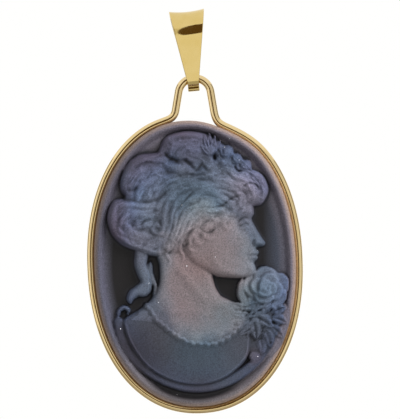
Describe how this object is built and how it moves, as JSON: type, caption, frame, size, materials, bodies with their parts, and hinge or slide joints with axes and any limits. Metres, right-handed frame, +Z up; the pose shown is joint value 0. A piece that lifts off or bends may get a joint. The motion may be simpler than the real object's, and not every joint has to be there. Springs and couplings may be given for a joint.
{
  "type": "cameo pendant",
  "caption": "Oval relief cameo of a lady's bust in a bent round-wire frame, hanging by the frame's loop from a tapered sheet bail for a chain.",
  "frame": {"origin": "inside top of the bail, where the chain lies", "axes": "+Z up along the hanging pendant, +X to the viewer's right, the cameo's relief faces -Y"},
  "size_m": [0.019, 0.0039, 0.0357],
  "materials": {
    "bail_gold": "polished yellow gold, light brushing along the sheet",
    "wire_gold": "polished yellow gold wire",
    "cameo_glass": "frosted moulded glass, iridescent blue-grey over charcoal"
  },
  "bodies": {
    "bail": {"bail": "bail_gold"},
    "pendant": {"wire_frame": "wire_gold", "cameo": "cameo_glass"}
  },
  "joints": [
    {"name": "pendant_swing", "type": "hinge", "parent": "bail", "child": "pendant", "pos_m": [0.00056, 0, -0.00562], "axis": [0.9956, 0, 0.0941], "range_deg": [-90, 90]}
  ]
}
